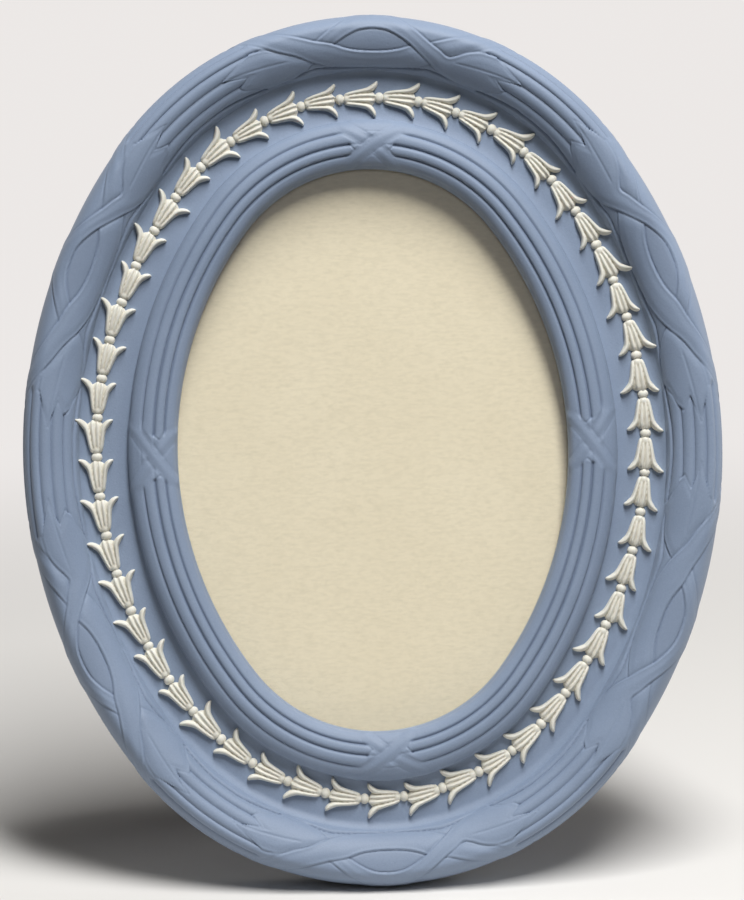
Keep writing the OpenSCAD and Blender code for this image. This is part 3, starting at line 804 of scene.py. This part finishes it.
def makeGarland():
    random.seed(garland["seed"])
    husk, bead = makeHusk(), makeBead()
    edgeAt, step = garlandEdges()
    husks, beads = [], []
    for k in range(garland["count"]):
        place = garland["start"] + k * step
        shift, turn, size = (spread(garland[key]) for key in ("shiftSpread", "turnSpread", "sizeSpread"))
        flares = spread(garland["flareSpread"]), spread(garland["flareSpread"])
        husks.append(alongGarland(husk, edgeAt(place + garland["beadRoom"]), shift, turn, 1 + size, flares))
        beads.append(alongGarland(bead, edgeAt(place), shift / 2, 0, 1 + size))
    for start in (husk, bead):
        bpy.data.objects.remove(start)
    pieces = joined(husks, "husk_garland"), joined(beads, "bead_garland")
    for piece in pieces:
        facingOut(piece)
        smoothShade(piece)
    return pieces


huskPiece, beadPiece = makeGarland()
print("garland pressed:", triangleCount(huskPiece), "husk and", triangleCount(beadPiece), "bead triangles")

# velvet on the back, the panel and the strut
velvet = {
    "skin": 0.3 * mm,           # height of the velvet's face above the back plane
    "thick": 0.6 * mm,
    "ringFrom": 12.3 * mm,
    "ringTo": 29 * mm,
    "ringAround": 420,
    "ringAcross": 18,
    "panelFrom": 29.4 * mm,
    "panelRings": 40,
    "round": 0.25 * mm,
    "corner": 0.3,              # how far the middle of a rounded edge stays from its corner
    "strutEdge": 0.2 * mm,
    "nap": 0.09 * mm,           # how unevenly the pile lies
}


def napHeight(points):
    # slow unevenness of the pile, in the velvet's own thickness only: waves across and up, and one aslant
    x, z = points[..., 0] / mm, points[..., 2] / mm
    wave = np.sin(x * 0.31 + 1.3) * np.sin(z * 0.27 - 0.4) + 0.6 * np.sin(x * 0.83 - z * 0.57 + 2.1)
    return velvet["nap"] * (0.5 + 0.3 * wave)


def napped(points):
    # the velvet's face is at the back, so the pile sinks into it towards the front
    return points + napHeight(points)[..., None] * np.array([0, -cosLean, sinLean])


def makeRingVelvet():
    low, high = velvet["skin"], velvet["skin"] + velvet["thick"]
    start, end, soft = velvet["ringFrom"], velvet["ringTo"], velvet["round"]
    near, count = soft * velvet["corner"], velvet["ringAcross"]
    section = np.array([(inset, low) for inset in np.linspace(start + soft, end - soft, count)]
                       + [(end - near, low + near), (end, low + soft), (end, high), (start, high),
                          (start, low + soft), (start + near, low + near)])
    piece, spot = addRing("ring_velvet_cover", velvet["ringAround"], len(section))
    points = sweptAround(velvet["ringAround"], section)
    points[:, :count] = napped(points[:, :count])
    setPoints(piece, points[spot])
    return piece


def pressedOval(name, inset, low, high, soft, rings=12, steps=300):
    # sphere primitive pressed into an oval sheet with rounded edges, its poles in the middle of each face
    piece = addSphere(steps, rings)
    piece.name = piece.data.name = name
    unit = pointsOf(piece)
    polar = np.arccos(np.clip(unit[:, 2], -1, 1)) / math.pi * rings
    along = (np.arctan2(unit[:, 0], unit[:, 1]) / (2 * math.pi) % 1) * ovalLength(0)
    centreX, centreY, radius, turn = ovalSpot(along, 0)
    # rings of the two faces, the two rounded corners and the rim between them
    fromRim = np.abs(polar - rings / 2)
    reach = radius - inset - np.where(fromRim > 1.5, soft, 0)
    share = np.clip((rings / 2 - fromRim) / (rings / 2 - 2), 0, 1)
    middle, half = (low + high) / 2, (high - low) / 2
    thick = np.where(fromRim > 1.5, half, np.where(fromRim > 0.5, half - soft, 0))
    out = middle + np.sign(polar - rings / 2) * thick
    points = onFace((centreX + reach * np.cos(turn)) * share, (centreY + reach * np.sin(turn)) * share, out)
    setPoints(piece, points)
    return piece, points, polar < rings / 2 - 1.5


def makePanelVelvet():
    piece, points, skin = pressedOval("panel_velvet_cover", velvet["panelFrom"], velvet["skin"],
                                      velvet["skin"] + velvet["thick"], velvet["round"], velvet["panelRings"])
    points[skin] = napped(points[skin])
    setPoints(piece, points)
    return piece


# the glazing: sheets kept a hair apart so that no two faces share a plane
glazing = {
    "inset": face["wide"] / 2 - (cardHigh.x - cardLow.x) / 2,
    "card": (4.62 * mm, 4.94 * mm),
    "glass": (5.04 * mm, 6.96 * mm),
    "round": 0.1 * mm,
}
cardPiece = pressedOval("cream_card_sheet", glazing["inset"], *glazing["card"], glazing["round"])[0]
glassPiece = pressedOval("clear_glass", glazing["inset"], *glazing["glass"], glazing["round"])[0]

# boards, hinge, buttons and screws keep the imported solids' shape, with their edges eased
easing = {
    "flatWithin": 1.5,          # degrees: faces this close to level are made one
    "sharperThan": 30,          # degrees: only such edges are eased
    "segments": 2,
    "leaf": 0.12 * mm,
    "button": 0.16 * mm,
    "screw": 0.1 * mm,
    "board": 0.15 * mm,
}
hardware = {f"turn_button_{place}": (f"button_{place}_plate", "button")
            for place in ("upper_left", "upper_right", "lower_left", "lower_right")}
hardware.update({
    "turn_button_screws": ("slotted_screws", "screw"),
    "hinge_fixed_leaf": ("panel_hinge_leaf", "leaf"),
    "hinge_moving_leaf": ("strut_hinge_leaf", "leaf"),
    "strut_board": ("strut_core", "board"),
})


def softened(node, name, width, segments=easing["segments"]):
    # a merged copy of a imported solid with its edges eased
    piece = nodes[node].copy()
    piece.data = nodes[node].data.copy()
    piece.parent = None
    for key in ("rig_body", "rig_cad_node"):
        if key in piece:
            del piece[key]
    bpy.context.collection.objects.link(piece)
    piece.name = piece.data.name = name
    piece.data.materials.clear()
    facingOut(piece)
    bpy.ops.object.mode_set(mode="EDIT")
    bpy.ops.mesh.select_all(action="SELECT")
    bpy.ops.mesh.dissolve_limited(angle_limit=math.radians(easing["flatWithin"]))
    bpy.ops.object.mode_set(mode="OBJECT")
    applyModifier(piece, "BEVEL", width=width, segments=segments, limit_method="ANGLE",
                  angle_limit=math.radians(easing["sharperThan"]), use_clamp_overlap=True)
    smoothShade(piece, shadeAngle["hardware"])
    return piece


ringVelvet = makeRingVelvet()
panelVelvet = makePanelVelvet()
strutVelvet = softened("strut_velvet", "strut_velvet_cover", velvet["strutEdge"], 3)
for piece in (ringVelvet, panelVelvet, cardPiece, glassPiece):
    facingOut(piece)
    smoothShade(piece, shadeAngle["sheet"])
easedPieces = {node: softened(node, name, easing[kind]) for node, (name, kind) in hardware.items()}
print("velvet laid and edges eased")


def newGroup(name, inputs, output):
    group = bpy.data.node_groups.new(name, "ShaderNodeTree")
    for label, value in inputs:
        group.interface.new_socket(label, in_out="INPUT", socket_type="NodeSocketFloat").default_value = value
    group.interface.new_socket(output, in_out="OUTPUT", socket_type="NodeSocketFloat")
    return group, group.nodes.new("NodeGroupInput").outputs, group.nodes.new("NodeGroupOutput").inputs[output]


def feed(tree, target, source):
    # a socket takes another's value, or a value of its own
    if isinstance(source, bpy.types.NodeSocket):
        tree.links.new(source, target)
    else:
        target.default_value = source


def addNode(tree, kind, links=None, **settings):
    node = tree.nodes.new("ShaderNode" + kind)
    for key, value in settings.items():
        setattr(node, key, value)
    for socket, source in (links or {}).items():
        feed(tree, node.inputs[socket], source)
    return node


def mathNode(tree, operation, first, second, clamp=False):
    node = addNode(tree, "Math", {0: first, 1: second}, operation=operation, use_clamp=clamp)
    return node.outputs[0]


def mixColour(tree, factor, first, second):
    return addNode(tree, "Mix", {0: factor, 6: first, 7: second}, data_type="RGBA").outputs[2]


def mixedShader(tree, factor, first, second):
    return addNode(tree, "MixShader", {0: factor, 1: first, 2: second}).outputs[0]


def mapped(tree, value, low, high, start=0.0, end=1.0):
    # a value's range from start to end, spread from low to high
    return addNode(tree, "MapRange", {"Value": value, "From Min": start, "From Max": end,
                                      "To Min": low, "To Max": high}).outputs["Result"]


def objectPlace(tree):
    return addNode(tree, "TexCoord").outputs["Object"]


def noise(tree, scale, detail, roughness=0.5, stretch=None):
    place = objectPlace(tree)
    if stretch:
        # drawn out along one direction, for laid or drawn lines
        place = addNode(tree, "Mapping", {"Vector": place, "Scale": stretch}).outputs["Vector"]
    return addNode(tree, "TexNoise", {"Vector": place, "Scale": scale, "Detail": detail,
                                      "Roughness": roughness}).outputs["Fac"]


def makeMottle():
    # cloudy change of tone: two sizes of noise, about half on average
    group, given, result = newGroup("mottle", [("Large", 60.0), ("Small", 700.0), ("Contrast", 1.0)], "Value")
    both = mathNode(group, "ADD", mathNode(group, "MULTIPLY", noise(group, given["Large"], 3.0), 0.6),
                    mathNode(group, "MULTIPLY", noise(group, given["Small"], 2.0), 0.4))
    spreadOut = mathNode(group, "MULTIPLY", mathNode(group, "SUBTRACT", both, 0.5), given["Contrast"])
    group.links.new(mathNode(group, "ADD", spreadOut, 0.5, clamp=True), result)
    return group


def makeGrain():
    # fine pitted surface of a fired body or a rough board, as a height
    inputs = [("Fine", 2600.0), ("Pits", 900.0), ("Pit depth", 0.4)]
    group, given, result = newGroup("grain", inputs, "Height")
    pits = addNode(group, "TexVoronoi", {"Vector": objectPlace(group), "Scale": given["Pits"]})
    dent = mapped(group, pits.outputs["Distance"], 1.0, 0.0, end=0.25)
    rare = mathNode(group, "MULTIPLY", dent, given["Pit depth"])
    group.links.new(mathNode(group, "SUBTRACT", noise(group, given["Fine"], 4.0, 0.65), rare), result)
    return group


mottleGroup, grainGroup = makeMottle(), makeGrain()


def placeGroup(tree, group, values):
    return addNode(tree, "Group", dict(enumerate(values)), node_tree=group).outputs[0]


def newMaterial(name, shaderValues):
    material = bpy.data.materials.new(name)
    material.use_nodes = True
    shader = material.node_tree.nodes["Principled BSDF"]
    for label, value in shaderValues.items():
        shader.inputs[label].default_value = value
    return material, material.node_tree, shader


def makeFinish(name, finish):
    # tone and roughness follow one mottle, and the bump is a grain or fibres
    material, tree, shader = newMaterial(name, finish["shader"])
    mottle = placeGroup(tree, mottleGroup, finish["mottle"])
    base = mixColour(tree, mottle, finish["dark"], finish["light"])
    # painted shade: marked hollows and grooves are darkened towards the shade colour
    if "hollow" in finish:
        hollow = addNode(tree, "Attribute", attribute_name="hollow").outputs["Fac"]
        hollow = mathNode(tree, "MULTIPLY", hollow, finish["hollowShare"])
        base = mixColour(tree, hollow, base, finish["hollow"])
    if "grain" in finish:
        height = placeGroup(tree, grainGroup, finish["grain"])
    else:
        height = noise(tree, *finish["fibres"])
    if "laid" in finish:
        lines = mapped(tree, noise(tree, *finish["laid"]), *finish["laidRange"])
        base = mixColour(tree, lines, base, finish["lines"])
    elif "lines" in finish:
        base = mixColour(tree, height, base, finish["lines"])
    strength, distance = finish["bump"]
    bump = addNode(tree, "Bump", {"Height": height, "Strength": strength, "Distance": distance})
    feed(tree, shader.inputs["Base Color"], base)
    feed(tree, shader.inputs["Roughness"], mapped(tree, mottle, *finish["rough"]))
    feed(tree, shader.inputs["Normal"], bump.outputs["Normal"])
    return material


# finishes: mottle is two scales and the contrast, grain is two scales and the pits' depth, fibres and
# laid lines are the scale, detail and roughness of a noise and how it is drawn out, and bump is
# strength and distance; the hollow colour is painted shade, worked into the grooves and hollows
stoneware = {
    "dark": (0.18, 0.232, 0.325, 1),
    "light": (0.244, 0.307, 0.42, 1),
    # painted shade worked into the bands' grooves and hollows
    "hollow": (0.09, 0.118, 0.178, 1),
    "hollowShare": 0.44,
    "rough": (0.5, 0.66),
    "mottle": (55.0, 3000.0, 1.7),
    "grain": (2400.0, 700.0, 0.5),
    "bump": (0.35, 0.12 * mm),
    "shader": {"Specular IOR Level": 0.45, "Sheen Weight": 0.05, "Sheen Roughness": 0.5},
}
sprigs = {
    "dark": (0.66, 0.635, 0.55, 1),
    # painted shade worked into the husks' grooves
    "light": (0.79, 0.78, 0.705, 1),
    "hollow": (0.4, 0.35, 0.26, 1),
    "hollowShare": 0.6,
    "rough": (0.5, 0.7),
    "mottle": (300.0, 1600.0, 1.6),
    "grain": (2600.0, 1200.0, 0.3),
    "bump": (0.3, 0.1 * mm),
    "shader": {"Specular IOR Level": 0.4, "Subsurface Weight": 0.08, "Subsurface Scale": 1.0,
               "Subsurface Radius": (0.6 * mm, 0.45 * mm, 0.3 * mm)},
}
# cream card with faint fibres and flecks, its grain lying across it
creamCard = {
    "dark": (0.775, 0.67, 0.48, 1),
    "light": (0.87, 0.77, 0.58, 1),
    "lines": (0.6, 0.52, 0.36, 1),
    "laid": (1.0, 4.0, 0.7, (520.0, 1500.0, 1500.0)),
    "laidRange": (0, 0.42, 0.42, 0.72),     # how strong, from none to most, and where in the noise
    "fibres": (3200.0, 3.0),
    "rough": (0.75, 0.9),
    "mottle": (40.0, 1800.0, 1.3),
    "bump": (0.12, 0.04 * mm),
    "shader": {"Specular IOR Level": 0.25},
}
packingCard = {
    "dark": (0.2, 0.185, 0.155, 1),
    "light": (0.3, 0.28, 0.24, 1),
    "rough": (0.8, 0.95),
    "mottle": (200.0, 2500.0, 1.4),
    "grain": (2200.0, 1000.0, 0.2),
    "bump": (0.3, 0.1 * mm),
    "shader": {"Specular IOR Level": 0.2},
}
# brushed pile: random lighter patches are painted sheen, standing for pile that lies one way
bluePile = {
    "dark": (0.01, 0.015, 0.046, 1),
    "light": (0.032, 0.043, 0.115, 1),
    "fibres": (3600.0, 3.0, 0.7),
    "rough": (0.8, 1.0),
    "mottle": (90.0, 2600.0, 2.2),
    "bump": (0.8, 0.25 * mm),
    "shader": {"Specular IOR Level": 0.1, "Sheen Weight": 0.9, "Sheen Roughness": 0.35,
               "Sheen Tint": (0.35, 0.42, 0.75, 1)},
}
fibreboard = {
    "dark": (0.1, 0.058, 0.028, 1),
    "light": (0.19, 0.118, 0.062, 1),
    "lines": (0.14, 0.088, 0.046, 1),
    "fibres": (1600.0, 5.0, 0.7),
    "rough": (0.62, 0.85),
    "mottle": (120.0, 900.0, 1.4),
    "bump": (0.35, 0.12 * mm),
    "shader": {"Specular IOR Level": 0.3},
}
# sheet metals by slot: name, dark and light tone, roughness and depth of the drawn lines
metals = {
    "brass": ("stamped_brass", (0.48, 0.31, 0.1, 1), (0.7, 0.5, 0.2, 1), (0.22, 0.38), 0.15),
    "screw_brass": ("turned_brass", (0.3, 0.18, 0.055, 1), (0.48, 0.31, 0.11, 1), (0.25, 0.42), 0.12),
    "hinge_steel": ("nickelled_sheet", (0.4, 0.38, 0.34, 1), (0.58, 0.56, 0.52, 1), (0.2, 0.36), 0.15),
    "rivet_steel": ("nickelled_rivet", (0.46, 0.44, 0.4, 1), (0.64, 0.62, 0.57, 1), (0.16, 0.3), 0.08),
}
drawnMetal = {
    "fibres": (1.0, 3.0, 0.5, (200.0, 4000.0, 4000.0)),
    "mottle": (150.0, 1500.0, 1.8),
    "lineDeep": 0.05 * mm,
    "shader": {"Metallic": 1.0},
}
clearGlass = {"Base Color": (0.97, 0.99, 0.98, 1), "Roughness": 0.02, "IOR": 1.46, "Transmission Weight": 1.0}


def makeMetal(name, dark, light, rough, scratch):
    tones = {"dark": dark, "light": light, "rough": rough, "bump": (scratch, drawnMetal["lineDeep"])}
    return makeFinish(name, {**drawnMetal, **tones})


def makeGlass():
    material, tree, shader = newMaterial("picture_glass", clearGlass)
    # shadow rays pass straight through, so the card behind is lit as by daylight
    clear = addNode(tree, "BsdfTransparent")
    rays = addNode(tree, "LightPath").outputs
    passing = mathNode(tree, "MAXIMUM", rays["Is Shadow Ray"], rays["Is Diffuse Ray"])
    mix = mixedShader(tree, passing, shader.outputs[0], clear.outputs[0])
    feed(tree, tree.nodes["Material Output"].inputs["Surface"], mix)
    return material


finishes = {
    "blue_stoneware": makeFinish("blue_stoneware", stoneware),
    "white_stoneware": makeFinish("white_stoneware", sprigs),
    "display_card": makeFinish("cream_card", creamCard),
    "grey_card": makeFinish("grey_board", packingCard),
    "glass": makeGlass(),
    "velvet": makeFinish("blue_velvet", bluePile),
    "fibreboard": makeFinish("brown_fibreboard", fibreboard),
}
for slot, metal in metals.items():
    finishes[slot] = makeMetal(*metal)
print("finishes mixed")

slotOf = {part["node"]: part["material_slot"] for part in frame["record"]["subparts"]}
bodyOf = {node: body for body, members in frame["record"]["behaviour"]["bodies"].items() for node in members}


def dress(piece, slot):
    piece.data.materials.clear()
    piece.data.materials.append(finishes[slot])


def standsFor(piece, node):
    dress(piece, slotOf[node])
    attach(piece, bodyOf[node])
    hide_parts(node)


for node, solid in nodes.items():
    dress(solid, slotOf[node])
for piece in outerPieces + [fieldPiece] + innerPieces:
    standsFor(piece, "jasper_frame")
covers = {"husk_flowers": huskPiece, "husk_beads": beadPiece, "display_card": cardPiece,
          "glass_pane": glassPiece, "ring_velvet": ringVelvet, "panel_velvet": panelVelvet,
          "strut_velvet": strutVelvet, **easedPieces}
for node, piece in covers.items():
    standsFor(piece, node)
print("pieces dressed and joined to their bodies")

# floor and light
studio = {
    "floorSize": 8,
    "floor": {"Base Color": (0.735, 0.718, 0.692, 1), "Roughness": 0.9, "Specular IOR Level": 0.1},
    "backdrop": (0.84, 0.81, 0.795, 1),
    "fade": (0.2, 0.5),         # metres from the frame over which the floor passes into the backdrop
    "front": (-0.05, -0.17),    # depth in metres over which the floor stops throwing light up at the frame
    "ambient": 0.06,
    "ambientColour": (1.0, 0.94, 0.84, 1),
}
lamps = {
    # name: place, aim, width, depth, power
    "overheadSoftbox": ((0.16, -0.36, 1.02), (0, 0.02, 0.09), 0.24, 0.7, 15),
    "rightFill": ((0.9, 0.3, 0.3), (0.05, 0.05, 0), 0.4, 0.4, 2),
}


def seenRays(tree):
    # one for rays from the camera, from reflections and through the glass
    rays = addNode(tree, "LightPath").outputs
    return mathNode(tree, "MAXIMUM", rays["Is Camera Ray"],
                    mathNode(tree, "MAXIMUM", rays["Is Glossy Ray"], rays["Is Transmission Ray"]))


def fadeOver(tree, value, start, end):
    return addNode(tree, "MapRange", {"Value": value, "From Min": start, "From Max": end},
                   interpolation_type="SMOOTHSTEP").outputs["Result"]


def makeFloor():
    clearSelection()
    bpy.ops.mesh.primitive_plane_add(size=studio["floorSize"], location=(0, 0, 0))
    piece = bpy.context.active_object
    piece.name = "studio_floor"
    material, tree, shader = newMaterial("pale_floor", studio["floor"])
    # away from the frame what the camera and reflections see is the even backdrop
    place = objectPlace(tree)
    away = addNode(tree, "VectorMath", {0: place}, operation="LENGTH").outputs["Value"]
    share = mathNode(tree, "MULTIPLY", fadeOver(tree, away, *studio["fade"]), seenRays(tree))
    even = addNode(tree, "Emission", {"Color": studio["backdrop"], "Strength": 1.0})
    mix = mixedShader(tree, share, shader.outputs[0], even.outputs[0])
    # what lies well in front of the frame throws no light up at it
    front = addNode(tree, "SeparateXYZ", {"Vector": place}).outputs["Y"]
    bounce = addNode(tree, "LightPath").outputs["Is Diffuse Ray"]
    held = mathNode(tree, "MULTIPLY", fadeOver(tree, front, *studio["front"]), bounce)
    dark = addNode(tree, "Emission", {"Color": (0, 0, 0, 1), "Strength": 0.0})
    hide = mixedShader(tree, held, mix, dark.outputs[0])
    feed(tree, tree.nodes["Material Output"].inputs["Surface"], hide)
    piece.data.materials.append(material)


def makeWorld():
    world = bpy.data.worlds.new("studio")
    bpy.context.scene.world = world
    world.use_nodes = True
    tree = world.node_tree
    ambient = tree.nodes["Background"]
    ambient.inputs["Color"].default_value = studio["ambientColour"]
    ambient.inputs["Strength"].default_value = studio["ambient"]
    shown = addNode(tree, "Background", {"Color": studio["backdrop"], "Strength": 1.0})
    mix = mixedShader(tree, seenRays(tree), ambient.outputs[0], shown.outputs[0])
    feed(tree, tree.nodes["World Output"].inputs["Surface"], mix)


def makeLamps():
    for name, (place, target, width, depth, power) in lamps.items():
        clearSelection()
        bpy.ops.object.light_add(type="AREA", location=place)
        lamp = bpy.context.active_object
        lamp.name = name
        lamp.rotation_euler = (Vector(target) - Vector(place)).to_track_quat("-Z", "Y").to_euler()
        lamp.data.shape = "RECTANGLE"
        lamp.data.size = width
        lamp.data.size_y = depth
        lamp.data.energy = power


makeFloor()
makeWorld()
makeLamps()
print("studio lit")

for piece in bpy.data.objects:
    if piece.type == "MESH":
        print(piece.name, triangleCount(piece), "triangles")
